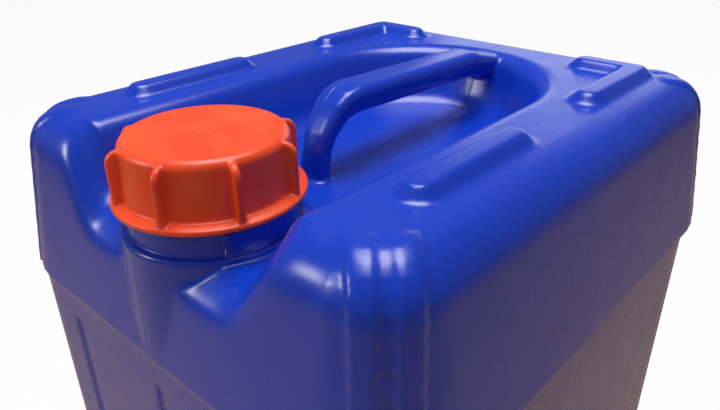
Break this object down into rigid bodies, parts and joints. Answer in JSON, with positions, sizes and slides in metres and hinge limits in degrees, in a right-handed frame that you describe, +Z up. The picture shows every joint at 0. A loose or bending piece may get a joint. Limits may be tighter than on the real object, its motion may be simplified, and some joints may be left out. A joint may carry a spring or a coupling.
{
  "type": "plastic jerrycan",
  "caption": "Tall stackable plastic canister with a grip moulded into its sunken shoulder, a short neck at the front and a ribbed screw cap.",
  "frame": {"origin": "middle of the base, on the floor", "axes": "+Z up, neck and cap towards -Y, grip along Y, width along X"},
  "size_m": [0.25, 0.2821, 0.4404],
  "materials": {
    "canister_plastic": "semi-gloss blown polyethylene with a fine grain",
    "cap_plastic": "satin injection-moulded plastic",
    "liner_foam": "matt closed-cell foam"
  },
  "bodies": {
    "can": {"canister": "canister_plastic"},
    "seal": {"sealing_disc": "liner_foam"},
    "cap": {"screw_cap": "cap_plastic"}
  },
  "joints": [
    {"name": "cap_rise", "type": "slide", "parent": "can", "child": "seal", "axis": [0, 0, 1], "range_m": [0, 0.021]},
    {"name": "cap_turn", "type": "hinge", "parent": "seal", "child": "cap", "pos_m": [0, -0.103, 0.43], "axis": [0, 0, 1], "range_deg": [0, 1260]}
  ],
  "couplings": [
    {"joint": "cap_rise", "follows": "cap_turn", "m_per_rad": 0.00095493}
  ]
}
